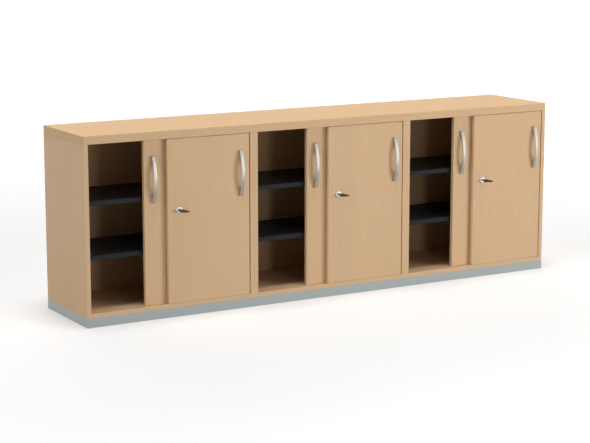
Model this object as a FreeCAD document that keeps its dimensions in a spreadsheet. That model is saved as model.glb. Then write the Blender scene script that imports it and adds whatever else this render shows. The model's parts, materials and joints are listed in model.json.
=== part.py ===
import FreeCAD, Part
import math
import os
import re
import Sketcher
from FreeCAD import Rotation, Vector

# Sliding door sideboard: three equal modules under one top, on one plinth.
# Millimetres. X runs along the width, the front faces -Y and +Z is up.
# The origin is on the floor, under the middle of the whole depth, handles and keys included.

# Driving dimensions: name, value, meaning
driving_sizes = [
    ("module_width", 800, "one module, outside of side to outside of side"),
    ("cabinet_depth", 430, "carcass, front edge to rear edge"),
    ("cabinet_height", 810, "floor to upper face of the top"),
    ("depth_offset", 25, "origin to the middle of the carcass depth"),
    ("top_thickness", 36, "top board"),
    ("side_thickness", 19, "side boards"),
    ("bottom_thickness", 19, "bottom boards"),
    ("back_thickness", 8, "back boards"),
    ("back_setback", 12, "rear edge of a side to rear face of the back"),
    ("back_groove_depth", 8, "groove that holds the back"),
    ("back_play", 0.3, "back in its groove"),
    ("edge_radius", 0.8, "rounding of board edges"),
    ("top_edge_radius", 2, "rounding of the top's thicker edge band"),
    ("plinth_height", 40, "plinth rails"),
    ("plinth_thickness", 19, "plinth rails"),
    ("door_thickness", 18, "both doors"),
    ("door_recess", 2, "carcass front to face of the outer door"),
    ("door_gap", 5, "back of the outer door to face of the inner door"),
    ("door_side_gap", 4, "closed door to the side it meets"),
    ("door_lower_gap", 1, "bottom board to lower edge of a door"),
    ("door_upper_gap", 1.5, "upper edge of a door to the top"),
    ("door_overlap", 36, "shared width of the two closed doors"),
    ("parked_strip", 100, "open inner door, showing beside the outer door"),
    ("track_width", 9, "running and guide tracks"),
    ("track_height", 9, "running and guide tracks, let in flush"),
    ("track_wall", 1.5, "wall of a track"),
    ("track_play", 0.1, "track in its groove"),
    ("glide_length", 60, "glide along the door"),
    ("glide_inset", 40, "upright door edge to glide"),
    ("glide_root_width", 10, "glide's root in the door's edge"),
    ("glide_root_height", 14, "glide's root in the door's edge"),
    ("glide_play", 0.3, "glide in its track"),
    ("glide_fit", 0.1, "glide's root in its mortise"),
    ("handle_length", 202, "bow handle, end to end"),
    ("handle_finger_length", 150, "chord of the bow's inner arc"),
    ("handle_projection", 30, "door face to the bow's crown"),
    ("handle_thickness", 6, "bow at its crown"),
    ("handle_end_thickness", 12, "bow at its two ends"),
    ("handle_width", 17, "bow seen from the front"),
    ("handle_rounding", 2, "long edges of the bow"),
    ("handle_hole_spacing", 160, "spacing of the handle's screws"),
    ("handle_inset", 43, "upright door edge to middle of the handle"),
    ("handle_drop", 69.5, "upper door edge to upper end of the handle"),
    ("screw_diameter", 4, "handle screws"),
    ("screw_head_diameter", 8, "handle screws"),
    ("screw_head_height", 2.4, "handle screws"),
    ("screw_reach", 7, "handle screw into the handle's foot"),
    ("screw_play", 0.2, "screws in their holes, all round"),
    ("lock_inset", 54, "left edge of the outer door to lock axis"),
    ("lock_height", 464, "floor to lock axis"),
    ("rosette_diameter", 29, "lock's front plate"),
    ("rosette_thickness", 3, "lock's front plate, proud of the door"),
    ("rosette_rounding", 1.2, "front edge of the lock's front plate"),
    ("barrel_diameter", 18, "lock housing through the door"),
    ("plug_diameter", 13, "lock core in the housing"),
    ("lock_play", 0.1, "radial play of housing and core"),
    ("hub_diameter", 14, "cam hub behind the door"),
    ("cam_thickness", 2, "hook cam"),
    ("cam_stand_off", 1, "back of the outer door to hook cam"),
    ("cam_width", 9, "arm of the hook cam"),
    ("hook_width", 7, "upturned tip of the hook cam"),
    ("stud_diameter", 7, "strike stud on the inner door"),
    ("stud_height", 3.5, "strike stud, proud of the inner door"),
    ("stud_depth", 8, "strike stud in the inner door"),
    ("stud_edge", 18, "right edge of the inner door to stud"),
    ("stud_rise", 12, "stud above the lock axis"),
    ("stud_play", 1, "locked hook to stud"),
    ("blade_width", 7.5, "key blade"),
    ("blade_thickness", 1.8, "key blade"),
    ("blade_reach", 18, "key blade inside the core"),
    ("blade_play", 0.2, "key blade in its slot"),
    ("pivot_distance", 18, "front plate to the key's fold pivot"),
    ("eye_diameter", 8, "blade's eye at the fold pivot"),
    ("pivot_diameter", 3, "fold pivot pin"),
    ("pivot_play", 0.1, "radial play of the fold pivot"),
    ("bow_length", 40, "fold pivot to tip of the key's bow"),
    ("bow_width", 13, "key bow near its tip"),
    ("bow_root_width", 14, "key bow at the fold pivot"),
    ("bow_thickness", 13, "key bow at the fold pivot"),
    ("bow_tip_thickness", 4.5, "key bow at its tip"),
    ("bow_rounding", 1.2, "edges of the key bow"),
    ("bow_slot_play", 0.5, "bow's slot round the blade's eye"),
    ("fold_angle", 30, "key bow folded to the right, degrees"),
    ("shelf_height", 20, "folded steel shelf"),
    ("shelf_sheet", 1.2, "sheet of a shelf"),
    ("shelf_lip", 12, "folded return under a shelf"),
    ("shelf_bend", 1, "outer radius of a shelf's folds"),
    ("shelf_side_play", 1, "side to end of a shelf"),
    ("shelf_front_gap", 6, "back of the inner door to a shelf"),
    ("shelf_rear_gap", 3, "shelf to back panel"),
    ("lower_shelf_share", 0.3315, "height of the lower shelf, as a share of the inside height"),
    ("upper_shelf_share", 0.656, "height of the upper shelf, as a share of the inside height"),
    ("pin_diameter", 5, "shelf pins"),
    ("pin_depth", 9, "shelf pin in a side"),
    ("pin_reach", 9, "shelf pin out of a side"),
    ("pin_play", 0.1, "shelf pin in its hole, all round"),
    ("pin_inset", 50, "front or rear edge of a shelf to its pins"),
    ("pin_pitch", 32, "spare pin holes above and below"),
    ("dowel_diameter", 8, "wooden dowels"),
    ("dowel_length", 35, "wooden dowels"),
    ("dowel_depth", 12, "dowel into the face of a board"),
    ("dowel_play", 0.1, "dowel in its hole, all round"),
    ("dowel_inset", 60, "front or rear edge to the outer dowels"),
    ("bolt_diameter", 6, "bolts that join two modules"),
    ("bolt_head_diameter", 15, "bolts that join two modules"),
    ("bolt_head_height", 2, "bolts that join two modules"),
    ("bolt_play", 0.2, "joining bolts, all round"),
    ("bolt_edge_distance", 90, "edges of a side to its joining bolts"),
    ("buffer_diameter", 8, "door buffers"),
    ("buffer_play", 0.4, "closed door to its buffers"),
    ("buffer_inset", 120, "ends of a door to its buffers"),
    ("plinth_screw_diameter", 5, "screws up through the plinth"),
    ("plinth_screw_head", 10, "screws up through the plinth"),
    ("plinth_screw_head_height", 3, "screws up through the plinth"),
    ("plinth_screw_sink", 6, "floor to screw head"),
    ("plinth_screw_bite", 40, "screw into a side"),
    ("plinth_screw_inset", 80, "front or rear edge to a plinth screw"),
]

bays = ("left", "middle", "right")

# Lengths worked out from the driving dimensions, as expression text
total_width = f"({len(bays)}*module_width)"
inside_width = "(module_width - 2*side_thickness)"
side_height = "(cabinet_height - top_thickness - plinth_height)"
floor_level = "(plinth_height + bottom_thickness)"
under_top = "(cabinet_height - top_thickness)"
door_width = f"(({inside_width} - 2*door_side_gap + door_overlap)/2)"
door_height = f"({under_top} - {floor_level} - door_lower_gap - door_upper_gap)"
door_bottom = f"({floor_level} + door_lower_gap)"
front = "(depth_offset - cabinet_depth/2)"
rear = "(depth_offset + cabinet_depth/2)"
back_front = "(cabinet_depth - back_setback - back_thickness)"
bottom_depth = f"({back_front} - back_play)"
channel_width = "(track_width - 2*track_wall)"
glide_tongue_width = f"({channel_width} - 2*glide_play)"
glide_tongue_height = "(door_lower_gap + track_height - track_wall - glide_play)"
guide_tongue_height = "(door_upper_gap + track_height - track_wall - glide_play)"
shelf_front = "(door_recess + 2*door_thickness + door_gap + shelf_front_gap)"
shelf_depth = f"({back_front} - shelf_rear_gap - {shelf_front})"
shelf_width = f"({inside_width} - 2*shelf_side_play)"
handle_middle = f"({door_height} - handle_drop - handle_length/2)"
cam_reach = "(lock_inset + stud_edge - door_overlap - stud_diameter/2 - stud_play)"
door_faces = {"inner": "(door_recess + door_thickness + door_gap)", "outer": "door_recess"}
inside_height = f"({under_top} - {floor_level})"
shelf_levels = {name: f"({floor_level} + {name}_shelf_share*{inside_height})"
                for name in ("lower", "upper")}
dowel_places = ("dowel_inset", "(cabinet_depth/2)", "(cabinet_depth - dowel_inset)")
plinth_screw_places = ("plinth_screw_inset", "(cabinet_depth - plinth_screw_inset)")

doc = FreeCAD.newDocument("SlidingDoorCabinet")
sheet = doc.addObject("Spreadsheet::Sheet", "sizes")
for row, (alias, value, meaning) in enumerate(driving_sizes, start=1):
    sheet.set(f"A{row}", meaning)
    sheet.set(f"B{row}", str(value))
    sheet.setAlias(f"B{row}", alias)
doc.recompute()

nodes = []


# Helpers

def sized(text):
    return re.sub(r"[a-z]+(?:_[a-z]+)+", r"sizes.\g<0>", text)


def bind(thing, path, text):
    thing.setExpression(path, sized(text))


def place(thing, x="0", y="0", z="0"):
    for axis, text in (("x", x), ("y", y), ("z", z)):
        bind(thing, f"Placement.Base.{axis}", text)


def new_body(label, at=("0", "0", "0"), is_node=True):
    body = doc.addObject("PartDesign::Body", label)
    body.Label = label
    place(body, *at)
    if is_node:
        nodes.append(body)
    return body


def new_sketch(body, role, offset="0"):
    plane = [feature for feature in body.Origin.OriginFeatures if feature.Role == role][0]
    sketch = body.newObject("Sketcher::SketchObject", f"{body.Name}_sketch")
    sketch.AttachmentSupport = [(plane, "")]
    sketch.MapMode = "FlatFace"
    if offset != "0":
        bind(sketch, "AttachmentOffset.Base.z", offset)
    return sketch


def fix_point(sketch, geometry, point, x, y):
    drawn = sketch.getPoint(geometry, point)
    for kind, axis, text, now in (("DistanceX", -2, x, drawn.x), ("DistanceY", -1, y, drawn.y)):
        if text == "0":
            sketch.addConstraint(Sketcher.Constraint("PointOnObject", geometry, point, axis))
        else:
            index = sketch.addConstraint(Sketcher.Constraint(kind, -1, 1, geometry, point, now))
            bind(sketch, f"Constraints[{index}]", text)


def fix_size(sketch, kind, geometry, text):
    drawn = sketch.Geometry[geometry].Radius
    if kind == "Diameter":
        drawn *= 2
    index = sketch.addConstraint(Sketcher.Constraint(kind, geometry, drawn))
    bind(sketch, f"Constraints[{index}]", text)


def draw_polygon(sketch, points):
    corners = [Vector(math.cos(turn), math.sin(turn), 0) for turn in range(len(points))]
    first = sketch.GeometryCount
    for number, corner in enumerate(corners):
        sketch.addGeometry(Part.LineSegment(corner, corners[(number + 1) % len(corners)]))
    for number, (x, y) in enumerate(points):
        line = first + number
        following = first + (number + 1) % len(points)
        sketch.addConstraint(Sketcher.Constraint("Coincident", line, 2, following, 1))
        fix_point(sketch, line, 1, x, y)


def draw_rectangle(sketch, x0, y0, x1, y1):
    draw_polygon(sketch, ((x0, y0), (x1, y0), (x1, y1), (x0, y1)))


def draw_circle(sketch, x, y, diameter):
    circle = sketch.addGeometry(Part.Circle(Vector(0, 0, 0), Vector(0, 0, 1), 1))
    fix_point(sketch, circle, 3, x, y)
    fix_size(sketch, "Diameter", circle, diameter)


def add_feature(body, kind, sketch, length, backwards):
    feature = body.newObject(f"PartDesign::{kind}", f"{body.Name}_{kind.lower()}")
    feature.Profile = sketch
    feature.Reversed = backwards
    bind(feature, "Length", length)
    return feature


def pad(body, sketch, length, backwards=False):
    return add_feature(body, "Pad", sketch, length, backwards)


def pocket(body, sketch, depth, backwards=False):
    return add_feature(body, "Pocket", sketch, depth, backwards)


def round_all_edges(body, base, radius):
    doc.recompute()
    fillet = body.newObject("PartDesign::Fillet", f"{body.Name}_rounding")
    fillet.Base = (base, [""])
    fillet.UseAllEdges = True
    bind(fillet, "Radius", radius)
    return fillet


def new_board(label, size, at, rounding="edge_radius"):
    width, depth, height = size
    body = new_body(label, at)
    outline = new_sketch(body, "XY_Plane")
    draw_rectangle(outline, "0", "0", width, depth)
    round_all_edges(body, pad(body, outline, height), rounding)
    return body


def drill(body, role, offset, holes, diameter, depth, backwards=False):
    sketch = new_sketch(body, role, offset)
    for x, y in holes:
        draw_circle(sketch, x, y, diameter)
    return pocket(body, sketch, depth, backwards)


def new_group(label, copies):
    links = []
    for master, at, rotation in copies:
        link = doc.addObject("App::Link", f"{label}_copy")
        link.LinkedObject = master
        link.Placement.Rotation = rotation
        place(link, *at)
        links.append(link)
    group = doc.addObject("Part::Compound", label)
    group.Label = label
    group.Links = links
    nodes.append(group)
    return links


def module_start(bay):
    return f"({bays.index(bay)} - {len(bays)}/2)*module_width"


straight = Rotation()
upside_down = Rotation(Vector(0, 1, 0), 180)
turned_round = Rotation(Vector(0, 0, 1), 180)


# Top, with the guide tracks' grooves and the dowel holes in its underside

def make_top():
    top = new_board("top_panel", (total_width, "cabinet_depth", "top_thickness"),
                    (f"-{total_width}/2", front, under_top), "top_edge_radius")
    grooves = new_sketch(top, "XY_Plane")
    dowel_holes = []
    for number in range(len(bays)):
        inner_face = f"({number}*module_width + side_thickness)"
        for face in door_faces.values():
            groove_front = f"({face} + door_thickness/2 - track_width/2 - track_play)"
            draw_rectangle(grooves, inner_face, groove_front,
                           f"{inner_face} + {inside_width}",
                           f"{groove_front} + track_width + 2*track_play")
        for side_middle in ("side_thickness/2", "module_width - side_thickness/2"):
            for along in dowel_places:
                dowel_holes.append((f"{number}*module_width + {side_middle}", along))
    pocket(top, grooves, "track_height + track_play", backwards=True)
    drill(top, "XY_Plane", "0", dowel_holes, "dowel_diameter + 2*dowel_play",
          "dowel_depth + dowel_play", backwards=True)


# Sides: a module's left side has its inner face at +X, its right side at 0

def make_side(bay, hand):
    left = hand == "left"
    start = module_start(bay)
    at_x = start if left else f"{start} + module_width - side_thickness"
    side = new_board(f"{bay}_module_{hand}_side",
                     ("side_thickness", "cabinet_depth", side_height),
                     (at_x, front, "plinth_height"))
    inner_face = "side_thickness" if left else "0"
    backwards = not left

    groove = new_sketch(side, "YZ_Plane", inner_face)
    draw_rectangle(groove, f"{back_front} - back_play", "0",
                   f"{back_front} + back_thickness + back_play", side_height)
    pocket(side, groove, "back_groove_depth", backwards)

    bottom_holes = [(along, "bottom_thickness/2") for along in dowel_places]
    drill(side, "YZ_Plane", inner_face, bottom_holes, "dowel_diameter + 2*dowel_play",
          "dowel_depth + dowel_play", backwards)
    pin_holes = []
    for along in pin_places():
        for level in shelf_levels.values():
            for step in (-1, 0, 1):
                pin_holes.append((along, f"{pin_level(level)} - plinth_height + {step}*pin_pitch"))
    drill(side, "YZ_Plane", inner_face, pin_holes, "pin_diameter + 2*pin_play",
          "pin_depth + pin_play", backwards)

    top_holes = [("side_thickness/2", along) for along in dowel_places]
    drill(side, "XY_Plane", side_height, top_holes, "dowel_diameter + 2*dowel_play",
          "dowel_length - dowel_depth + dowel_play")
    screw_holes = [("side_thickness/2", along) for along in plinth_screw_places]
    drill(side, "XY_Plane", "0", screw_holes, "plinth_screw_diameter + 2*screw_play",
          "plinth_screw_bite + screw_play", backwards=True)

    outermost = (bay, hand) in ((bays[0], "left"), (bays[-1], "right"))
    if not outermost:
        drill(side, "YZ_Plane", inner_face, bolt_places(), "bolt_diameter + 2*bolt_play",
              "side_thickness", backwards)
        drill(side, "YZ_Plane", inner_face, bolt_places(), "bolt_head_diameter + 2*bolt_play",
              "bolt_head_height + bolt_play", backwards)


def pin_places():
    return f"({shelf_front} + pin_inset)", f"({shelf_front} + {shelf_depth} - pin_inset)"


def pin_level(shelf_level):
    return f"({shelf_level} - shelf_height - pin_diameter/2)"


def bolt_places():
    return [(along, up) for along in ("bolt_edge_distance", "cabinet_depth - bolt_edge_distance")
            for up in ("bolt_edge_distance", f"{side_height} - bolt_edge_distance")]


# Bottoms, with the running tracks' grooves in their upper faces

def make_bottom(bay):
    bottom = new_board(f"{bay}_bottom_panel", (inside_width, bottom_depth, "bottom_thickness"),
                       (f"{module_start(bay)} + side_thickness", front, "plinth_height"))
    grooves = new_sketch(bottom, "XY_Plane", "bottom_thickness")
    for face in door_faces.values():
        groove_front = f"({face} + door_thickness/2 - track_width/2 - track_play)"
        draw_rectangle(grooves, "0", groove_front, inside_width,
                       f"{groove_front} + track_width + 2*track_play")
    pocket(bottom, grooves, "track_height + track_play")
    holes = [(along, "bottom_thickness/2") for along in dowel_places]
    depth = "dowel_length - dowel_depth + dowel_play"
    drill(bottom, "YZ_Plane", "0", holes, "dowel_diameter + 2*dowel_play", depth, backwards=True)
    drill(bottom, "YZ_Plane", inside_width, holes, "dowel_diameter + 2*dowel_play", depth)


# Backs, held in the sides' grooves and standing on the plinth's rear rail

def make_back(bay):
    tongue = "(back_groove_depth - back_play)"
    new_board(f"{bay}_back_panel",
              (f"{inside_width} + 2*{tongue}", "back_thickness", f"{side_height} - back_play"),
              (f"{module_start(bay)} + side_thickness - {tongue}",
               f"{front} + {back_front}", "plinth_height"))


# Shelves: trays of folded sheet with a return lip all round

def make_shelf_master():
    shelf = new_body("shelf_tray", is_node=False)
    outline = new_sketch(shelf, "XY_Plane")
    draw_rectangle(outline, "0", "0", shelf_width, shelf_depth)
    round_all_edges(shelf, pad(shelf, outline, "shelf_height"), "shelf_bend")
    mouth = new_sketch(shelf, "XY_Plane")
    rim = "shelf_lip"
    draw_rectangle(mouth, rim, rim, f"{shelf_width} - {rim}", f"{shelf_depth} - {rim}")
    pocket(shelf, mouth, "shelf_height - shelf_sheet", backwards=True)
    hollow = new_sketch(shelf, "XY_Plane", "shelf_sheet")
    draw_rectangle(hollow, "shelf_sheet", "shelf_sheet",
                   f"{shelf_width} - shelf_sheet", f"{shelf_depth} - shelf_sheet")
    pocket(shelf, hollow, "shelf_height - 2*shelf_sheet", backwards=True)
    return shelf


def make_shelves():
    tray = make_shelf_master()
    for bay in bays:
        for name, level in shelf_levels.items():
            at = (f"{module_start(bay)} + side_thickness + shelf_side_play",
                  f"{front} + {shelf_front}", f"{level} - shelf_height")
            new_group(f"{bay}_{name}_shelf", [(tray, at, straight)])


def make_rod(label, diameter, length, role="YZ_Plane"):
    rod = new_body(label, is_node=False)
    section = new_sketch(rod, role)
    draw_circle(section, "0", "0", diameter)
    pad(rod, section, length)
    return rod


def make_shelf_pins():
    pin = make_rod("shelf_pin", "pin_diameter", "pin_depth + pin_reach")
    copies = []
    for bay in bays:
        inner_faces = (f"{module_start(bay)} + side_thickness - pin_depth",
                       f"{module_start(bay)} + module_width - side_thickness - pin_reach")
        for x in inner_faces:
            for along in pin_places():
                for level in shelf_levels.values():
                    copies.append((pin, (x, f"{front} + {along}", pin_level(level)), straight))
    new_group("shelf_pins", copies)


# Tracks: channels let flush into the bottoms and, upside down, into the top

def make_tracks():
    track = new_body("track", is_node=False)
    section = new_sketch(track, "YZ_Plane")
    draw_polygon(section, (("0", "0"), ("track_width", "0"), ("track_width", "track_height"),
                           ("track_width - track_wall", "track_height"),
                           ("track_width - track_wall", "track_wall"),
                           ("track_wall", "track_wall"), ("track_wall", "track_height"),
                           ("0", "track_height")))
    length = f"({inside_width} - 2*track_play)"
    pad(track, section, length)
    lower = []
    upper = []
    for bay in bays:
        start = f"{module_start(bay)} + side_thickness + track_play"
        for face in door_faces.values():
            y = f"{front} + {face} + door_thickness/2 - track_width/2"
            lower.append((track, (start, y, f"{floor_level} - track_height"), straight))
            upper.append((track, (f"{start} + {length}", y, f"{under_top} + track_height"),
                          upside_down))
    new_group("lower_tracks", lower)
    new_group("upper_tracks", upper)


# Plinth: a frame with mitred corners, and cross rails under the double sides

def make_plinth():
    thickness = "plinth_thickness"
    long_rail = new_body("plinth_long_rail", is_node=False)
    outline = new_sketch(long_rail, "XY_Plane")
    draw_polygon(outline, (("0", "0"), (total_width, "0"),
                           (f"{total_width} - {thickness}", thickness), (thickness, thickness)))
    pad(long_rail, outline, "plinth_height")
    left_front = (f"-{total_width}/2", front, "0")
    right_rear = (f"{total_width}/2", rear, "0")
    new_group("plinth_front_rail", [(long_rail, left_front, straight)])
    new_group("plinth_rear_rail", [(long_rail, right_rear, turned_round)])

    end_rail = new_body("plinth_end_rail", is_node=False)
    outline = new_sketch(end_rail, "XY_Plane")
    draw_polygon(outline, (("0", "0"), (thickness, thickness),
                           (thickness, f"cabinet_depth - {thickness}"), ("0", "cabinet_depth")))
    pad(end_rail, outline, "plinth_height")
    bore_for_plinth_screws(end_rail, ("side_thickness/2",))
    new_group("plinth_end_rails", [(end_rail, left_front, straight),
                                   (end_rail, right_rear, turned_round)])

    cross_rail = new_body("plinth_cross_rail", is_node=False)
    outline = new_sketch(cross_rail, "XY_Plane")
    draw_rectangle(outline, "0", thickness, "2*side_thickness", f"cabinet_depth - {thickness}")
    pad(cross_rail, outline, "plinth_height")
    bore_for_plinth_screws(cross_rail, ("side_thickness/2", "3*side_thickness/2"))
    new_group("plinth_cross_rails",
              [(cross_rail, (f"{module_start(bay)} - side_thickness", front, "0"), straight)
               for bay in bays[1:]])


def bore_for_plinth_screws(rail, across):
    places = [(x, along) for x in across for along in plinth_screw_places]
    drill(rail, "XY_Plane", "0", places, "plinth_screw_diameter + 2*screw_play",
          "plinth_height", backwards=True)
    drill(rail, "XY_Plane", "0", places, "plinth_screw_head + 2*screw_play",
          "plinth_screw_sink + plinth_screw_head_height", backwards=True)


def make_headed(label, role, heads):
    # a turned fastener, as a stack of discs: diameter and length of each
    body = new_body(label, is_node=False)
    start = "0"
    for diameter, length in heads:
        section = new_sketch(body, role, start)
        draw_circle(section, "0", "0", diameter)
        pad(body, section, length)
        start = f"{start} + {length}" if start != "0" else length
    return body


def make_carcass_fasteners():
    screw = make_headed("plinth_screw", "XY_Plane",
                        (("plinth_screw_head", "plinth_screw_head_height"),
                         ("plinth_screw_diameter",
                          "(plinth_height - plinth_screw_sink - plinth_screw_head_height"
                          " + plinth_screw_bite)")))
    across_dowel = make_rod("dowel_across", "dowel_diameter", "dowel_length")
    upright_dowel = make_rod("dowel_upright", "dowel_diameter", "dowel_length", "XY_Plane")
    bolt = make_headed("connecting_bolt", "YZ_Plane",
                       (("bolt_head_diameter", "bolt_head_height"),
                        ("bolt_diameter", "(2*side_thickness - 2*bolt_head_height)"),
                        ("bolt_head_diameter", "bolt_head_height")))
    screws = []
    dowels = []
    for bay in bays:
        left_outside = module_start(bay)
        right_outside = f"{module_start(bay)} + module_width"
        for middle in (f"{left_outside} + side_thickness/2", f"{right_outside} - side_thickness/2"):
            for along in plinth_screw_places:
                screws.append((screw, (middle, f"{front} + {along}", "plinth_screw_sink"), straight))
            for along in dowel_places:
                dowels.append((upright_dowel, (middle, f"{front} + {along}",
                                               f"{under_top} - dowel_length + dowel_depth"), straight))
        for x in (f"{left_outside} + side_thickness - dowel_depth",
                  f"{right_outside} - side_thickness + dowel_depth - dowel_length"):
            for along in dowel_places:
                dowels.append((across_dowel, (x, f"{front} + {along}",
                                              "plinth_height + bottom_thickness/2"), straight))
    bolts = [(bolt, (f"{module_start(bay)} - side_thickness", f"{front} + {along}",
                     f"plinth_height + {up}"), straight)
             for bay in bays[1:] for along, up in bolt_places()]
    new_group("plinth_screws", screws)
    new_group("carcass_dowels", dowels)
    new_group("connecting_bolts", bolts)


def make_buffers():
    length = "(door_side_gap - buffer_play)"
    buffer = make_rod("door_buffer", "buffer_diameter", length)
    ends = (f"{door_bottom} + buffer_inset", f"{door_bottom} + {door_height} - buffer_inset")
    copies = []
    for bay in bays:
        left_face = f"{module_start(bay)} + side_thickness"
        right_face = f"{module_start(bay)} + module_width - side_thickness - {length}"
        for x, kind in ((left_face, "inner"), (right_face, "outer")):
            y = f"{front} + {door_faces[kind]} + door_thickness/2"
            copies += [(buffer, (x, y, z), straight) for z in ends]
    new_group("door_buffers", copies)


# Doors: face at y 0 and thickness towards +Y

def door_start(bay, kind):
    inner_face = f"{module_start(bay)} + side_thickness"
    if kind == "inner":
        return f"{door_start(bay, 'outer')} - parked_strip"
    return f"{inner_face} + {inside_width} - door_side_gap - {door_width}"


def handle_across(kind):
    return "handle_inset" if kind == "inner" else f"({door_width} - handle_inset)"


def make_door_panel(bay, kind):
    door = new_board(f"{bay}_{kind}_door_panel", (door_width, "door_thickness", door_height),
                     (door_start(bay, kind), f"{front} + {door_faces[kind]}", door_bottom))
    screw_holes = [(handle_across(kind), f"{handle_middle} + {side}*handle_hole_spacing/2")
                   for side in (-1, 1)]
    drill(door, "XZ_Plane", "0", screw_holes, "screw_diameter + 2*screw_play", "door_thickness")
    drill(door, "XZ_Plane", "-door_thickness", screw_holes, "screw_head_diameter + 2*screw_play",
          "screw_head_height + screw_play", backwards=True)

    for edge, backwards in (("0", True), (door_height, False)):
        mortises = new_sketch(door, "XY_Plane", edge)
        for x in glide_places():
            draw_rectangle(mortises, f"{x} - glide_fit",
                           "door_thickness/2 - glide_root_width/2 - glide_fit",
                           f"{x} + glide_length + glide_fit",
                           "door_thickness/2 + glide_root_width/2 + glide_fit")
        pocket(door, mortises, "glide_root_height + glide_fit", backwards)

    lock_up = f"(lock_height - {door_bottom})"
    if kind == "outer":
        drill(door, "XZ_Plane", "0", [("lock_inset", lock_up)],
              "barrel_diameter + 2*lock_play", "door_thickness")
    else:
        drill(door, "XZ_Plane", "0", [(f"{door_width} - stud_edge", f"{lock_up} + stud_rise")],
              "stud_diameter + 2*glide_fit", "stud_depth + glide_fit")


def glide_places():
    return "glide_inset", f"({door_width} - glide_inset - glide_length)"


def make_glide_master(label, tongue_height):
    # root upwards from z 0, tongue downwards
    glide = new_body(label, is_node=False)
    section = new_sketch(glide, "YZ_Plane")
    root = "glide_root_width/2"
    tongue = f"{glide_tongue_width}/2"
    draw_polygon(section, ((f"-{root}", "0"), (f"-{tongue}", "0"), (f"-{tongue}", f"-{tongue_height}"),
                           (tongue, f"-{tongue_height}"), (tongue, "0"), (root, "0"),
                           (root, "glide_root_height"), (f"-{root}", "glide_root_height")))
    pad(glide, section, "glide_length")
    return glide


def make_strike_stud():
    stud = new_body("strike_stud", is_node=False)
    section = new_sketch(stud, "XZ_Plane", "stud_height")
    draw_circle(section, "0", "0", "stud_diameter")
    pad(stud, section, "stud_height + stud_depth", backwards=True)
    return stud


def make_handle_master():
    # bow between two arcs, feet on y 0, crown towards -Y, middle at z 0
    handle = new_body("bow_handle", is_node=False)
    section = new_sketch(handle, "YZ_Plane", "-handle_width/2")
    crown = sheet.get("handle_projection")
    inner_crown = crown - sheet.get("handle_thickness")
    end = sheet.get("handle_end_thickness")
    arcs = []
    for chord, start, rise, top, height in (
            ("handle_length", "-handle_end_thickness", "(handle_projection - handle_end_thickness)",
             crown, crown - end),
            ("handle_finger_length", "0", "(handle_projection - handle_thickness)",
             inner_crown, inner_crown)):
        half = sheet.get(chord)/2
        radius = (half**2 + height**2)/(2*height)
        reach = math.asin(half/radius)
        circle = Part.Circle(Vector(radius - top, 0, 0), Vector(0, 0, 1), radius)
        arc = sketch_arc(section, circle, math.pi - reach, math.pi + reach)
        fix_point(section, arc, 1, start, f"{chord}/2")
        fix_point(section, arc, 2, start, f"-{chord}/2")
        fix_size(section, "Radius", arc, f"(({chord}/2)^2 + {rise}^2)/(2*{rise})")
        arcs.append(arc)
    for point, side in ((1, 1), (2, -1)):
        tip = side*sheet.get("handle_length")/2
        inner_tip = side*sheet.get("handle_finger_length")/2
        end_face = section.addGeometry(Part.LineSegment(Vector(-end, tip, 0), Vector(0, tip, 0)))
        foot = section.addGeometry(Part.LineSegment(Vector(0, tip, 0), Vector(0, inner_tip, 0)))
        section.addConstraint(Sketcher.Constraint("Coincident", end_face, 1, arcs[0], point))
        section.addConstraint(Sketcher.Constraint("Coincident", end_face, 2, foot, 1))
        section.addConstraint(Sketcher.Constraint("Coincident", foot, 2, arcs[1], point))
        fix_point(section, foot, 1, "0", f"{side}*handle_length/2")
    bow = pad(handle, section, "handle_width")
    doc.recompute()
    fillet = handle.newObject("PartDesign::Fillet", "bow_handle_rounding")
    long_edges = [f"Edge{number}" for number, edge in enumerate(bow.Shape.Edges, start=1)
                  if edge.Curve.TypeId == "Part::GeomCircle"]
    fillet.Base = (bow, long_edges)
    bind(fillet, "Radius", "handle_rounding")
    holes = [("0", f"{side}*handle_hole_spacing/2") for side in (-1, 1)]
    drill(handle, "XZ_Plane", "0", holes, "screw_diameter", "screw_reach + screw_play",
          backwards=True)
    return handle


def sketch_arc(sketch, circle, start, end):
    return sketch.addGeometry(Part.ArcOfCircle(circle, start, end))


def make_handle_screw():
    # shank from y 0 towards the handle at -Y, head towards +Y
    screw = new_body("handle_screw", is_node=False)
    shank = new_sketch(screw, "XZ_Plane")
    draw_circle(shank, "0", "0", "screw_diameter")
    pad(screw, shank, "door_thickness - screw_head_height + screw_reach")
    head = new_sketch(screw, "XZ_Plane")
    draw_circle(head, "0", "0", "screw_head_diameter")
    pad(screw, head, "screw_head_height", backwards=True)
    return screw


def make_doors():
    glide = make_glide_master("lower_glide", glide_tongue_height)
    guide = make_glide_master("upper_guide", guide_tongue_height)
    handle = make_handle_master()
    screw = make_handle_screw()
    stud = make_strike_stud()
    for bay in bays:
        for kind, face in door_faces.items():
            make_door_panel(bay, kind)
            start = door_start(bay, kind)
            door_face = f"{front} + {face}"
            handle_x = f"{start} + {handle_across(kind)}"
            middle = f"{door_bottom} + {handle_middle}"
            fittings = [(handle, (handle_x, door_face, middle), straight)]
            for side in (-1, 1):
                fittings.append((screw, (handle_x, f"{door_face} + door_thickness - screw_head_height",
                                         f"{middle} + {side}*handle_hole_spacing/2"), straight))
            new_group(f"{bay}_{kind}_handle", fittings)
            running = []
            for x in glide_places():
                middle_y = f"{door_face} + door_thickness/2"
                running.append((glide, (f"{start} + {x}", middle_y, door_bottom), straight))
                running.append((guide, (f"{start} + {x} + glide_length", middle_y,
                                        f"{door_bottom} + {door_height}"), upside_down))
            if kind == "inner":
                running.append((stud, (f"{start} + {door_width} - stud_edge", door_face,
                                       "lock_height + stud_rise"), straight))
            new_group(f"{bay}_{kind}_glides", running)


# Locks: each master has its axis along Y through the origin, with the door's face at y 0

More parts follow.
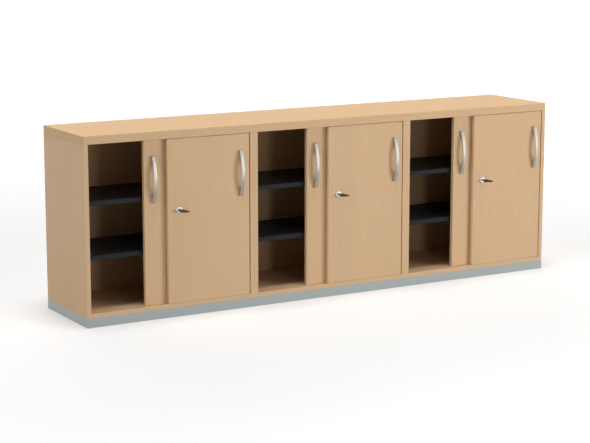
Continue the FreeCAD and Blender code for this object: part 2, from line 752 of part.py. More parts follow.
def make_lock_housing():
    housing = new_body("lock_housing", is_node=False)
    plate = new_sketch(housing, "XZ_Plane")
    draw_circle(plate, "0", "0", "rosette_diameter")
    disc = pad(housing, plate, "rosette_thickness")
    doc.recompute()
    fillet = housing.newObject("PartDesign::Fillet", "lock_housing_rounding")
    front_edges = [f"Edge{number}" for number, edge in enumerate(disc.Shape.Edges, start=1)
                   if edge.BoundBox.YMax < 0 and edge.Curve.TypeId == "Part::GeomCircle"]
    fillet.Base = (disc, front_edges)
    bind(fillet, "Radius", "rosette_rounding")
    barrel = new_sketch(housing, "XZ_Plane")
    draw_circle(barrel, "0", "0", "barrel_diameter")
    pad(housing, barrel, "door_thickness", backwards=True)
    drill(housing, "XZ_Plane", "rosette_thickness", [("0", "0")], "plug_diameter + 2*lock_play",
          "rosette_thickness + door_thickness")
    return housing


def make_lock_core():
    # plug with the key slot, and the hook cam on its rear end, pointing down
    core = new_body("lock_core", is_node=False)
    plug = new_sketch(core, "XZ_Plane", "rosette_thickness")
    draw_circle(plug, "0", "0", "plug_diameter")
    pad(core, plug, "rosette_thickness + door_thickness", backwards=True)
    cam_front = "-(door_thickness + cam_stand_off)"
    neck = new_sketch(core, "XZ_Plane", "-door_thickness")
    draw_circle(neck, "0", "0", "plug_diameter")
    pad(core, neck, "cam_stand_off", backwards=True)
    hub = new_sketch(core, "XZ_Plane", cam_front)
    draw_circle(hub, "0", "0", "hub_diameter")
    pad(core, hub, "cam_thickness", backwards=True)
    arm = new_sketch(core, "XZ_Plane", cam_front)
    half = "cam_width/2"
    hook_top = f"(hook_width - {cam_reach})"
    hook_tip = "-(stud_rise + stud_diameter/2)"
    draw_polygon(arm, ((half, "0"), (f"-{half}", "0"), (f"-{half}", hook_top), (hook_tip, hook_top),
                       (hook_tip, f"-{cam_reach}"), (half, f"-{cam_reach}")))
    pad(core, arm, "cam_thickness", backwards=True)
    slot = new_sketch(core, "XZ_Plane", "rosette_thickness")
    half_width = "(blade_width/2 + blade_play)"
    half_thickness = "(blade_thickness/2 + blade_play)"
    draw_rectangle(slot, f"-{half_width}", f"-{half_thickness}", half_width, half_thickness)
    pocket(core, slot, "blade_reach + blade_play")
    return core


def make_key_blade():
    # fold pivot at the origin, blade towards +Y into the core
    blade = new_body("key_blade", is_node=False)
    level = "-blade_thickness/2"
    eye = new_sketch(blade, "XY_Plane", level)
    draw_circle(eye, "0", "0", "eye_diameter")
    pad(blade, eye, "blade_thickness")
    strip = new_sketch(blade, "XY_Plane", level)
    draw_rectangle(strip, "-blade_width/2", "0", "blade_width/2", "pivot_distance + blade_reach")
    pad(blade, strip, "blade_thickness")
    drill(blade, "XY_Plane", level, [("0", "0")], "pivot_diameter + 2*pivot_play",
          "blade_thickness", backwards=True)
    return blade


def make_key_bow():
    # fold pivot at the origin, head towards -Y, slot for the blade's eye
    bow = new_body("key_bow", is_node=False)
    level = "-bow_thickness/2"
    outline = new_sketch(bow, "XY_Plane", level)
    root_radius = sheet.get("bow_root_width")/2
    head_radius = sheet.get("bow_width")/2
    spread = sheet.get("bow_length") - head_radius
    lean = math.asin((head_radius - root_radius)/spread)  # below 0, as the bow narrows
    root_circle = Part.Circle(Vector(0, 0, 0), Vector(0, 0, 1), root_radius)
    head_circle = Part.Circle(Vector(0, -spread, 0), Vector(0, 0, 1), head_radius)
    root = sketch_arc(outline, root_circle, lean, math.pi - lean)
    head = sketch_arc(outline, head_circle, math.pi - lean, 2*math.pi + lean)
    for start, end in (((root, 2), (head, 1)), ((head, 2), (root, 1))):
        first = point_of(outline, start)
        second = point_of(outline, end)
        flank = outline.addGeometry(Part.LineSegment(first, second))
        outline.addConstraint(Sketcher.Constraint("Tangent", *start, flank, 1))
        outline.addConstraint(Sketcher.Constraint("Tangent", flank, 2, *end))
    fix_point(outline, root, 3, "0", "0")
    fix_point(outline, head, 3, "0", "-(bow_length - bow_width/2)")
    fix_size(outline, "Radius", root, "bow_root_width/2")
    fix_size(outline, "Radius", head, "bow_width/2")
    pad(bow, outline, "bow_thickness")
    wedges = new_sketch(bow, "YZ_Plane", "-bow_root_width")
    for side in ("", "-"):
        draw_polygon(wedges, (("-bow_root_width/2", f"{side}bow_thickness"),
                              ("-bow_root_width/2", f"{side}bow_thickness/2"),
                              ("-bow_length", f"{side}bow_tip_thickness/2"),
                              ("-(bow_length + bow_width)", f"{side}bow_tip_thickness/2"),
                              ("-(bow_length + bow_width)", f"{side}bow_thickness")))
    tapered = pocket(bow, wedges, "2*bow_root_width", backwards=True)
    round_all_edges(bow, tapered, "bow_rounding")
    slot = new_sketch(bow, "YZ_Plane", "-bow_root_width")
    half = "(blade_thickness/2 + blade_play)"
    draw_rectangle(slot, "-(eye_diameter/2 + bow_slot_play)", f"-{half}", "bow_root_width", half)
    pocket(bow, slot, "2*bow_root_width", backwards=True)
    pin = new_sketch(bow, "XY_Plane", f"{level} + bow_rounding")
    draw_circle(pin, "0", "0", "pivot_diameter")
    pad(bow, pin, "bow_thickness - 2*bow_rounding")
    return bow


def point_of(sketch, end):
    return sketch.getPoint(*end)


def make_locks():
    housing = make_lock_housing()
    core = make_lock_core()
    blade = make_key_blade()
    bow = make_key_bow()
    door_face = f"{front} + {door_faces['outer']}"
    pivot_y = f"{door_face} - rosette_thickness - pivot_distance"
    for bay in bays:
        x = f"{door_start(bay, 'outer')} + lock_inset"
        new_group(f"{bay}_lock_housing", [(housing, (x, door_face, "lock_height"), straight)])
        new_group(f"{bay}_lock_core", [(core, (x, door_face, "lock_height"), straight)])
        new_group(f"{bay}_key_blade", [(blade, (x, pivot_y, "lock_height"), straight)])
        folded = Rotation(Vector(0, 0, 1), sheet.get("fold_angle"))
        bows = new_group(f"{bay}_key_bow", [(bow, (x, pivot_y, "lock_height"), folded)])
        bind(bows[0], "Placement.Rotation.Angle", "fold_angle*1deg")


make_top()
for module in bays:
    make_side(module, "left")
    make_side(module, "right")
    make_bottom(module)
    make_back(module)
make_shelves()
make_shelf_pins()
make_tracks()
make_plinth()
make_carcass_fasteners()
make_buffers()
make_doors()
make_locks()
doc.recompute()

# Nothing is written unless every feature is sound and every cut removes material

def stop_on(faults):
    if faults:
        raise RuntimeError("; ".join(faults))


stop_on([f"{thing.Name} {thing.State}" for thing in doc.Objects
         if "Invalid" in thing.State or "Error" in thing.State])
stop_on([f"{thing.Name} removes nothing" for thing in doc.Objects
         if thing.TypeId == "PartDesign::Pocket"
         and thing.BaseFeature.Shape.Volume <= thing.Shape.Volume])
stop_on([f"{node.Label} has no sound shape" for node in nodes
         if node.Shape.isNull() or not node.Shape.isValid()])

os.makedirs("parts", exist_ok=True)
for node in nodes:
    node.Shape.exportStep(f"parts/{node.Label}.step")
print(len(nodes), "pieces written")
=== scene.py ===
import json
import math
import bmesh
import bpy
from mathutils import Matrix, Vector


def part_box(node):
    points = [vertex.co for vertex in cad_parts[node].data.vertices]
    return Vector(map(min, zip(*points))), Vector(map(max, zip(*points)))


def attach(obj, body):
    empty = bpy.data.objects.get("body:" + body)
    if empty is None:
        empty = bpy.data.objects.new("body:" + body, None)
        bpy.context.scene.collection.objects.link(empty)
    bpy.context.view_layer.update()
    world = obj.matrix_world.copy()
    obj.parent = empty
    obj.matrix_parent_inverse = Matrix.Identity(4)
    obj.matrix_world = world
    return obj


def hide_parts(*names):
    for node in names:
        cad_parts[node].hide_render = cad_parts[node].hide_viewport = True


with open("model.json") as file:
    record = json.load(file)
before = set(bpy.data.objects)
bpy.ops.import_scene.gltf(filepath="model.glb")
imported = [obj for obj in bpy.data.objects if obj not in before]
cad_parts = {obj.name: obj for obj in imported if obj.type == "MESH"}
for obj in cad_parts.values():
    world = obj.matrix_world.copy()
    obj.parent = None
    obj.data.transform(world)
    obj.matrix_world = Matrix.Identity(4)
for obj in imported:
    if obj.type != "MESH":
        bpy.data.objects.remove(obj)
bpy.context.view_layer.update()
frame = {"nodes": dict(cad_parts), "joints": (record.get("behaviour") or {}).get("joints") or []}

bays = ("left", "middle", "right")
nodes = frame["nodes"]


# Material helpers

def newMaterial(name):
    material = bpy.data.materials.new(name)
    material.use_nodes = True
    shader = material.node_tree.nodes["Principled BSDF"]
    return material, material.node_tree, shader


def addNode(tree, kind, **values):
    node = tree.nodes.new(kind)
    for key, value in values.items():
        setattr(node, key, value)
    return node


def faceLean(tree):
    # the X, Y and Z parts of the way a face looks
    geometry = addNode(tree, "ShaderNodeNewGeometry")
    parts = addNode(tree, "ShaderNodeSeparateXYZ")
    tree.links.new(geometry.outputs["Normal"], parts.inputs["Vector"])
    return parts.outputs


def stretched(tree, source, stretch, offset):
    mapping = addNode(tree, "ShaderNodeMapping")
    mapping.inputs["Scale"].default_value = stretch
    mapping.inputs["Location"].default_value = offset
    tree.links.new(source, mapping.inputs["Vector"])
    return mapping.outputs["Vector"]


def objectNoise(tree, stretch, scale, detail, roughness, offset=(0, 0, 0), ends=None):
    # noise on the piece's own coordinates, stretched along the grain
    coords = addNode(tree, "ShaderNodeTexCoord").outputs["Object"]
    spot = stretched(tree, coords, stretch, offset)
    if ends is not None:  # grain turned along Y on the short ends
        turned = (stretch[1], stretch[0], stretch[2])
        either = addNode(tree, "ShaderNodeMix", data_type="VECTOR")
        tree.links.new(ends, either.inputs["Factor"])
        tree.links.new(spot, either.inputs["A"])
        tree.links.new(stretched(tree, coords, turned, offset), either.inputs["B"])
        spot = either.outputs["Result"]
    noise = addNode(tree, "ShaderNodeTexNoise")
    noise.inputs["Scale"].default_value = scale
    noise.inputs["Detail"].default_value = detail
    noise.inputs["Roughness"].default_value = roughness
    tree.links.new(spot, noise.inputs["Vector"])
    return noise.outputs["Fac"]


def ramp(tree, source, stops):
    stops = list(stops)
    node = addNode(tree, "ShaderNodeValToRGB")
    elements = node.color_ramp.elements
    while len(elements) < len(stops):
        elements.new(0.5)
    for element, (place, color) in zip(elements, stops):
        element.position = place
        element.color = (*color, 1)
    tree.links.new(source, node.inputs["Fac"])
    return node.outputs["Color"]


def multiply(tree, first, second):
    node = addNode(tree, "ShaderNodeMix", data_type="RGBA", blend_type="MULTIPLY")
    node.inputs["Factor"].default_value = 1
    tree.links.new(first, node.inputs["A"])
    tree.links.new(second, node.inputs["B"])
    return node.outputs["Result"]


def blend(tree, factor, first, second):
    # first where the factor is 0 and second where it is 1, each a number or a socket
    node = addNode(tree, "ShaderNodeMix")
    tree.links.new(factor, node.inputs["Factor"])
    for name, value in (("A", first), ("B", second)):
        if isinstance(value, (int, float)):
            node.inputs[name].default_value = value
        else:
            tree.links.new(value, node.inputs[name])
    return node.outputs["Result"]


def spread(tree, source, to, reach=(0, 1)):
    # values from one end of the reach to the other, spread over another range
    node = addNode(tree, "ShaderNodeMapRange")
    for name, value in zip(("From Min", "From Max", "To Min", "To Max"), (*reach, *to)):
        node.inputs[name].default_value = value
    tree.links.new(source, node.inputs["Value"])
    return node.outputs["Result"]


def bumpFrom(tree, shader, source, distance, strength):
    bump = addNode(tree, "ShaderNodeBump")
    bump.inputs["Distance"].default_value = distance
    bump.inputs["Strength"].default_value = strength
    tree.links.new(source, bump.inputs["Height"])
    tree.links.new(bump.outputs["Normal"], shader.inputs["Normal"])


def scaled(color, factor):
    return tuple(channel * factor for channel in color)


# Wood-look boards

woodLook = {
    "beech": (0.815, 0.56, 0.333),  # linear colour of the decor
    "backShadeTone": (0.58, 0.39, 0.225),  # backs, a little darker: painted shade for the dim insides of the bays
    "dowelShare": 0.9,  # dowels, as a share of the decor's tone
    "streakLength": 0.035,  # less is longer
    "streakNoise": (150, 5, 0.62),  # scale, detail and roughness, as in the other two
    "streakStops": (0.30, 0.52, 0.74),  # dark, plain and light
    "plainness": 0.035,  # strength of the grain's tone
    "lightShare": 0.6,  # light streaks, as a share of the dark ones
    "fleckLength": 0.10,
    "fleckNoise": (900, 2, 0.5),
    "fleckStops": (0.34, 0.43),
    "fleckDepth": 0.08,
    "fleckTint": (1, 0.97, 0.93),
    "cloudStretch": 0.5,  # clouds, as a share of the streaks' stretch
    "cloudNoise": (9, 3, 0.5),
    "cloudStops": (0.25, 0.75),
    "cloudTone": (0.95, 0.945, 0.94),
    "upperFaceShade": (1.0, 0.95, 0.87),  # painted shade: share of the tone left on faces that look up, the top's upper face
    "upperShadeStops": (0.6, 0.9),  # from edge to upper face, by how far a face looks up
    "endLean": 0.7,  # a face that looks further along X is a short end
    "roughness": (0.42, 0.52),
    "shine": 0.22,
    "topShine": 0.02,
    "poreBump": 0.00006,
    "poreStrength": 0.35,
}
unchanged = (1, 1, 1)  # a tone that leaves the one below it as it is


def endFaces(tree):
    # 1 on faces that look along X, 0 elsewhere
    size = addNode(tree, "ShaderNodeMath", operation="ABSOLUTE")
    chosen = addNode(tree, "ShaderNodeMath", operation="GREATER_THAN")
    chosen.inputs[1].default_value = woodLook["endLean"]
    tree.links.new(faceLean(tree)["X"], size.inputs[0])
    tree.links.new(size.outputs["Value"], chosen.inputs[0])
    return chosen.outputs["Value"]


def grainStretch(grain, length):
    return {"X": (length, 1, 1), "Z": (1, 1, length)}[grain]


def woodMaterial(name, grain, offset, tone, shine, banded=False):
    look = woodLook
    material, tree, shader = newMaterial(name)
    ends = endFaces(tree) if banded else None
    along = grainStretch(grain, look["streakLength"])
    streaks = objectNoise(tree, along, *look["streakNoise"], offset, ends)
    shades = (1 - look["plainness"], 1, 1 + look["plainness"] * look["lightShare"])
    streakTones = [scaled(tone, shade) for shade in shades]
    base = ramp(tree, streaks, zip(look["streakStops"], streakTones))
    fleckAlong = grainStretch(grain, look["fleckLength"])
    flecks = objectNoise(tree, fleckAlong, *look["fleckNoise"], offset, ends)
    dark = scaled(look["fleckTint"], 1 - look["fleckDepth"])
    fleckTone = ramp(tree, flecks, zip(look["fleckStops"], (dark, unchanged)))
    cloudAlong = scaled(along, look["cloudStretch"])
    clouds = objectNoise(tree, cloudAlong, *look["cloudNoise"], offset)
    cloudTone = ramp(tree, clouds, zip(look["cloudStops"], (look["cloudTone"], unchanged)))
    color = multiply(tree, multiply(tree, base, fleckTone), cloudTone)
    tree.links.new(color, shader.inputs["Base Color"])
    tree.links.new(spread(tree, streaks, look["roughness"]), shader.inputs["Roughness"])
    shader.inputs["Specular IOR Level"].default_value = shine
    bumpFrom(tree, shader, flecks, look["poreBump"], look["poreStrength"])
    return material


def shadeUpperFace(material):
    # painted shade: faces that look up get a darker, warmer tone than the edge bands, to temper the
    # overhead light on the top
    tree = material.node_tree
    shader = tree.nodes["Principled BSDF"]
    plain = shader.inputs["Base Color"].links[0].from_socket
    tones = zip(woodLook["upperShadeStops"], (unchanged, woodLook["upperFaceShade"]))
    upperShade = ramp(tree, faceLean(tree)["Z"], tones)
    tree.links.new(multiply(tree, plain, upperShade), shader.inputs["Base Color"])


boardTone = woodLook["beech"]
boardShine = woodLook["shine"]
dowelTone = scaled(boardTone, woodLook["dowelShare"])
topWood = woodMaterial("topWood", "X", (0, 0, 0), boardTone, woodLook["topShine"], banded=True)
# painted shade on the top's upper face
shadeUpperFace(topWood)
sideWood = woodMaterial("sideWood", "Z", (3.1, 0.7, 0), boardTone, boardShine)
bottomWood = woodMaterial("bottomWood", "X", (0, 1.9, 5), boardTone, boardShine)
# painted shade: the backs take the darker tone of the shaded bay insides
backWood = woodMaterial("backWood", "Z", (7, 2, 0), woodLook["backShadeTone"], boardShine)
innerDoorWood = woodMaterial("innerDoorWood", "Z", (11.3, 0, 2), boardTone, boardShine)
outerDoorWood = woodMaterial("outerDoorWood", "Z", (17.9, 4, 0), boardTone, boardShine)
dowelWood = woodMaterial("dowelWood", "Z", (1, 9, 0), dowelTone, boardShine)


# Metals and plastics

finishes = {
    "plinth": {"color": (0.49, 0.54, 0.532), "metal": 0.05, "rough": (0.34, 0.46),
               "stretch": (0.02, 1, 1), "scale": 700, "vary": 0.05, "bump": 0.00003},
    # painted light: the end and cross rails are a lighter copy of the plinth's tone, lifting the
    # shade on the plinth's left end
    "plinthEndLightened": {"color": (0.575, 0.61, 0.595), "metal": 0.05, "rough": (0.34, 0.46),
                  "stretch": (1, 0.02, 1), "scale": 700, "vary": 0.05, "bump": 0.00003},
    "blackSteel": {"color": (0.014, 0.016, 0.019), "metal": 0.0, "rough": (0.40, 0.58),
                   "stretch": (1, 1, 1), "scale": 1400, "vary": 0.30, "bump": 0.00006, "shine": 0.25},
    "silver": {"color": (0.585, 0.59, 0.55), "metal": 1.0, "rough": (0.24, 0.32),
               "stretch": (1, 1, 0.05), "scale": 1500, "vary": 0.05, "bump": 0.00002},
    "chrome": {"color": (0.88, 0.86, 0.82), "metal": 1.0, "rough": (0.10, 0.18),
               "stretch": (1, 1, 1), "scale": 400, "vary": 0.03, "bump": 0.00001},
    "zinc": {"color": (0.60, 0.61, 0.63), "metal": 1.0, "rough": (0.28, 0.42),
             "stretch": (1, 1, 1), "scale": 600, "vary": 0.08, "bump": 0.00002},
    "lockCore": {"color": (0.42, 0.42, 0.42), "metal": 1.0, "rough": (0.18, 0.28),
                 "stretch": (1, 1, 1), "scale": 400, "vary": 0.04, "bump": 0.00001},
    "darkSteel": {"color": (0.045, 0.043, 0.040), "metal": 0.8, "rough": (0.34, 0.46),
                  "stretch": (1, 1, 1), "scale": 900, "vary": 0.10, "bump": 0.00002},
    "trackPlastic": {"color": (0.62, 0.42, 0.24), "metal": 0.0, "rough": (0.38, 0.50),
                     "stretch": (0.05, 1, 1), "scale": 900, "vary": 0.06, "bump": 0.00003},
    "keyPlastic": {"color": (0.085, 0.050, 0.030), "metal": 0.0, "rough": (0.34, 0.48),
                   "stretch": (1, 1, 1), "scale": 1600, "vary": 0.20, "bump": 0.00005},
}


finishGrain = {
    "noise": (4, 0.55),  # detail and roughness
    "stops": (0.3, 0.7),  # dark and light
    "bumpStrength": 0.4,
    "shine": 0.5,  # of a finish that gives none
}


def finishMaterial(name):
    look = finishes[name]
    material, tree, shader = newMaterial(name)
    grain = objectNoise(tree, look["stretch"], look["scale"], *finishGrain["noise"])
    tones = [scaled(look["color"], share) for share in (1 - look["vary"], 1 + look["vary"])]
    color = ramp(tree, grain, zip(finishGrain["stops"], tones))
    tree.links.new(color, shader.inputs["Base Color"])
    tree.links.new(spread(tree, grain, look["rough"]), shader.inputs["Roughness"])
    shader.inputs["Metallic"].default_value = look["metal"]
    shader.inputs["Specular IOR Level"].default_value = look.get("shine", finishGrain["shine"])
    bumpFrom(tree, shader, grain, look["bump"], finishGrain["bumpStrength"])
    return material


made = {name: finishMaterial(name) for name in finishes}


def paint(material, *names):
    for name in names:
        piece = nodes[name]
        piece.data.materials.clear()
        piece.data.materials.append(material)


paint(topWood, "top_panel")
paint(made["plinth"], "plinth_front_rail", "plinth_rear_rail")
# painted light: the lighter plinth copy goes on the end and cross rails
paint(made["plinthEndLightened"], "plinth_end_rails", "plinth_cross_rails")
paint(made["zinc"], "shelf_pins", "plinth_screws", "connecting_bolts")
paint(made["trackPlastic"], "lower_tracks", "upper_tracks", "door_buffers")
paint(dowelWood, "carcass_dowels")
for bay in bays:
    paint(sideWood, f"{bay}_module_left_side", f"{bay}_module_right_side")
    paint(bottomWood, f"{bay}_bottom_panel")
    paint(backWood, f"{bay}_back_panel")
    paint(made["blackSteel"], f"{bay}_lower_shelf", f"{bay}_upper_shelf")
    paint(innerDoorWood, f"{bay}_inner_door_panel")
    paint(outerDoorWood, f"{bay}_outer_door_panel")
    paint(made["trackPlastic"], f"{bay}_inner_glides", f"{bay}_outer_glides")
    paint(made["silver"], f"{bay}_inner_handle", f"{bay}_outer_handle")
    paint(made["chrome"], f"{bay}_lock_housing")
    paint(made["lockCore"], f"{bay}_lock_core")
    paint(made["darkSteel"], f"{bay}_key_blade")
    paint(made["keyPlastic"], f"{bay}_key_bow")
print("boards and fittings painted")


# Mesh helpers

meshFinish = {
    "mergeReach": 0.000001,  # metres within which vertices become one
    "sharpAngle": 40,  # degrees past which an edge stays sharp
}


def finishPiece(name, bm, materials, body, slot, *replaced):
    bmesh.ops.remove_doubles(bm, verts=bm.verts, dist=meshFinish["mergeReach"])
    bmesh.ops.recalc_face_normals(bm, faces=bm.faces)
    mesh = bpy.data.meshes.new(name)
    bm.to_mesh(mesh)
    bm.free()
    for material in materials:
        mesh.materials.append(material)
    piece = bpy.data.objects.new(name, mesh)
    bpy.context.scene.collection.objects.link(piece)
    mesh.shade_smooth()
    mesh.set_sharp_from_angle(angle=math.radians(meshFinish["sharpAngle"]))
    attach(piece, body)
    if replaced:
        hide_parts(*replaced)


socketLook = {
    "steps": 36,  # a multiple of six
    "rim": 0.06,  # rounding of the rim, as a share of the head's radius
    "rimSegments": 3,
    "size": 0.42,  # socket, as a share of the head's radius
    "depth": 0.7,  # socket, as a share of the head's height
}


def addSocketHead(bm, centre, outward, radius, height, index):
    # fastener head with a rounded rim and a six-sided socket
    look = socketLook
    before = set(bm.faces)
    axis = Vector(outward)
    turn = Vector((0, 0, 1)).rotation_difference(axis).to_matrix().to_4x4()
    upper = Matrix.Translation(centre) @ turn
    bmesh.ops.create_cone(bm, cap_ends=True, segments=look["steps"], radius1=radius, radius2=radius,
                          depth=height, matrix=upper @ Matrix.Translation((0, 0, -height / 2)))
    fresh = set(bm.faces) - before
    crown = min(fresh, key=lambda face: (face.calc_center_median() - upper.translation).length)
    rim = list(crown.edges)
    bmesh.ops.inset_individual(bm, faces=[crown], thickness=radius * (1 - look["size"]))
    wedge = math.pi / 6
    for vert in crown.verts:  # drawn in to six flat sides
        spot = upper.inverted() @ vert.co
        angle = math.atan2(spot.y, spot.x) % (2 * wedge)
        reach = radius * look["size"] * math.cos(wedge) / math.cos(angle - wedge)
        vert.co = upper @ (spot.normalized() * reach)
    pit = bmesh.ops.extrude_discrete_faces(bm, faces=[crown])["faces"][0]
    bmesh.ops.translate(bm, verts=pit.verts, vec=-axis * height * look["depth"])
    bmesh.ops.bevel(bm, geom=rim, offset=radius * look["rim"], offset_type="OFFSET",
                    segments=look["rimSegments"], profile=0.5, affect="EDGES", material=-1)
    for face in set(bm.faces) - before:
        face.material_index = index


# Bow handles with their screws

handleLook = {
    "projection": 0.030,  # door face to crown
    "thickness": 0.006,
    "endThickness": 0.012,
    "endRounding": 0.0018,
    "fingerLength": 0.150,
    "screwSpacing": 0.160,
    "screwHead": 0.004,  # radius
    "screwHeight": 0.0024,
    "waist": 0.95,  # share of the width at the crown
    "softness": 3.0,  # 2 is an ellipse, larger is squarer
    "footStart": 0.004,  # inside the finger room's end, where the feet begin
    "footBlend": 0.010,  # length over which the bow's underside turns flat
    "footSquareness": 9,  # added to the softness under the feet
    "stations": 64,  # rings along the bow
    "around": 32,  # points on a ring
}


def arcRise(chord, rise, along):
    half = chord / 2
    if abs(along) >= half:
        return 0.0
    radius = (half**2 + rise**2) / (2 * rise)
    return rise - radius + math.sqrt(radius**2 - along**2)


def endPull(distance, radius):
    # how far a rounded end draws in, this far from the tip
    if distance >= radius:
        return 0.0
    return radius - math.sqrt(radius**2 - (radius - distance)**2)


def power(value, exponent):
    return math.copysign(abs(value)**exponent, value)


def bowPoint(length, halfWidth, station, step):
    # across, depth off the door and height of one point of the bow
    look = handleLook
    along = -math.cos(math.pi * station / look["stations"]) * length / 2
    pull = endPull(length / 2 - abs(along), look["endRounding"])
    rise = look["projection"] - look["endThickness"]
    outer = look["endThickness"] + arcRise(length, rise, along) - pull
    inner = arcRise(look["fingerLength"], look["projection"] - look["thickness"], along)
    width = halfWidth * (look["waist"] + (1 - look["waist"]) * (2 * along / length)**2) - pull
    angle = 2 * math.pi * step / look["around"]
    square = look["softness"]
    if math.sin(angle) < 0:  # the feet are flat where they meet the door
        inside = abs(along) - look["fingerLength"] / 2 + look["footStart"]
        square += look["footSquareness"] * min(1, max(0, inside / look["footBlend"]))
    across = width * power(math.cos(angle), 2 / square)
    depth = (outer + inner) / 2 + (outer - inner) / 2 * power(math.sin(angle), 2 / square)
    return across, depth, along


def makeHandle(bay, kind):
    node = f"{bay}_{kind}_handle"
    low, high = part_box(node)
    look = handleLook
    face = low.y + look["projection"]
    middle = (low + high) / 2
    bm = bmesh.new()
    bmesh.ops.create_cone(bm, cap_ends=True, segments=look["around"], radius1=1, radius2=1, depth=2)
    lengths = [edge for edge in bm.edges if edge.verts[0].co.z * edge.verts[1].co.z < 0]
    bmesh.ops.subdivide_edgering(bm, edges=lengths, cuts=look["stations"] - 1, interp_mode="LINEAR")
    for vert in bm.verts:
        station = round((vert.co.z + 1) / 2 * look["stations"])
        step = round(math.atan2(vert.co.y, vert.co.x) / (2 * math.pi) * look["around"])
        across, depth, along = bowPoint(high.z - low.z, (high.x - low.x) / 2, station, step)
        vert.co = (middle.x + across, face - depth, middle.z + along)
    for side in (-1, 1):
        spot = (middle.x, high.y, middle.z + side * look["screwSpacing"] / 2)
        addSocketHead(bm, spot, (0, 1, 0), look["screwHead"], look["screwHeight"], 1)
    finishPiece(f"{bay}{kind.title()}Handle", bm, (made["silver"], made["zinc"]),
                f"{bay}_{kind}_door", "silver_handle", node)


for bay in bays:
    makeHandle(bay, "inner")
    makeHandle(bay, "outer")
print("handles made")


# Lock housings, turned, with a groove round the core

rosette = {
    "profile": ((0.0066, -0.020), (0.0066, 0.0024), (0.0069, 0.0029), (0.0076, 0.0030),
                (0.0080, 0.0025), (0.0086, 0.0025), (0.0090, 0.0030), (0.0112, 0.0029),
                (0.0131, 0.0024), (0.0141, 0.0016), (0.0145, 0.0007), (0.0145, 0.0),
                (0.0090, 0.0), (0.0090, -0.018), (0.0080, -0.020)),  # radius, height over the door
    "thickness": 0.003,
    "steps": 72,
}


def makeHousing(bay):
    node = f"{bay}_lock_housing"
    low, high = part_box(node)
    centre = (low + high) / 2
    face = low.y + rosette["thickness"]
    bm = bmesh.new()
    outline = []
    for radius, height in rosette["profile"]:
        level = min(face - height, high.y)
        outline.append(bm.verts.new((centre.x + radius, level, centre.z)))
    edges = [bm.edges.new(ends) for ends in zip(outline, outline[1:] + outline[:1])]
    bmesh.ops.spin(bm, geom=outline + edges, cent=centre, axis=(0, 1, 0), angle=2 * math.pi,
                   steps=rosette["steps"], use_merge=True)
    finishPiece(f"{bay}LockHousing", bm, (made["chrome"],), f"{bay}_outer_door", "chrome_lock", node)


for bay in bays:
    makeHousing(bay)
print("lock housings made")


# Joining bolts, flush in the double sides

boltLook = {
    "radius": 0.0075,
    "head": 0.002,
    "edge": 0.0075,  # outer end of the bolts' box to a bolt's axis
    "side": 0.019,  # thickness of one of the two sides
}


def makeBolts():
    low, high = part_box("connecting_bolts")
    side, edge = boltLook["side"], boltLook["edge"]
    bm = bmesh.new()
    for divider in (low.x + side, high.x - side):
        for along in (low.y + edge, high.y - edge):
            for up in (low.z + edge, high.z - edge):
                for way in (-1, 1):
                    spot = (divider + way * side, along, up)
                    addSocketHead(bm, spot, (way, 0, 0), boltLook["radius"], boltLook["head"], 0)
    finishPiece("connectingBolts", bm, (made["zinc"],), "cabinet", "zinc_steel", "connecting_bolts")


makeBolts()
print("joining bolts made")


# Grip ribs on the key bows

ribLook = {
    "places": (0.017, 0.021, 0.025, 0.029, 0.033),  # from the fold pivot
    "length": 0.0075,
    "width": 0.0014,
    "rise": 0.0005,
    "rounding": 0.00035,
    "segments": 3,
    "fold": 30,  # degrees, as the bow is folded
    "tipThickness": 0.0045,
    "taperFrom": 0.007,
    "taperTo": 0.040,
}


def makeRibs(bay):
    joint = [entry for entry in frame["joints"] if entry["name"] == f"{bay}_key_bow_fold"][0]
    turn = Matrix.Rotation(math.radians(ribLook["fold"]), 4, "Z")
    toPivot = Matrix.Translation(joint["pos_m"]) @ turn
    low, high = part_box(f"{bay}_key_bow")
    rootThickness = high.z - low.z
    drop = (rootThickness - ribLook["tipThickness"]) / 2
    slope = drop / (ribLook["taperTo"] - ribLook["taperFrom"])
    bm = bmesh.new()
    for side in (-1, 1):
        for place in ribLook["places"]:
            level = rootThickness / 2 - (place - ribLook["taperFrom"]) * slope
            bar = bmesh.ops.create_cube(bm, size=1)
            size = Matrix.Diagonal((ribLook["length"], ribLook["width"], ribLook["rise"] * 2, 1))
            lean = Matrix.Rotation(side * math.atan(slope), 4, "X")
            spot = Matrix.Translation((0, -place, side * level))
            bmesh.ops.transform(bm, matrix=toPivot @ spot @ lean @ size, verts=bar["verts"])
    bmesh.ops.bevel(bm, geom=bm.edges[:], offset=ribLook["rounding"], offset_type="OFFSET",
                    segments=ribLook["segments"], profile=0.5, affect="EDGES", material=-1)
    finishPiece(f"{bay}KeyRibs", bm, (made["keyPlastic"],), f"{bay}_key_fold", "dark_plastic")


for bay in bays:
    makeRibs(bay)
print("key ribs made")


# Studio

